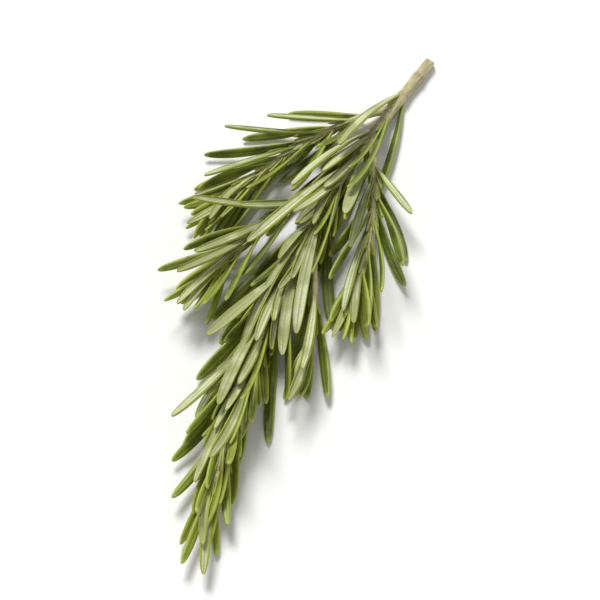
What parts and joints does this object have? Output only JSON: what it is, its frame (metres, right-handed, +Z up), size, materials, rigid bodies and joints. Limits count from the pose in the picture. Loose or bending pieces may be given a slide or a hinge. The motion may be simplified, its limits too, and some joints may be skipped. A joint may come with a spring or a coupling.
{
  "type": "rosemary sprig",
  "caption": "Cut sprig of fresh rosemary lying on a surface: a slightly bowed woody stem with narrow blunt leaves in crossed pairs, young leaves in the axils and side shoots left and right.",
  "frame": {"origin": "bottom centre of the bounding box, on the surface that the sprig lies on", "axes": "+Y along the sprig from its growing tip to its cut end, +Z up from the surface"},
  "size_m": [0.0564, 0.1414, 0.0183],
  "materials": {
    "leaf": "satin",
    "bark": "matte"
  },
  "bodies": {
    "root": {"main_leafy_stem": "leaf", "side_shoot_1": "leaf", "side_shoot_2": "leaf", "side_shoot_3": "leaf", "side_shoot_4": "leaf"}
  },
  "joints": []
}
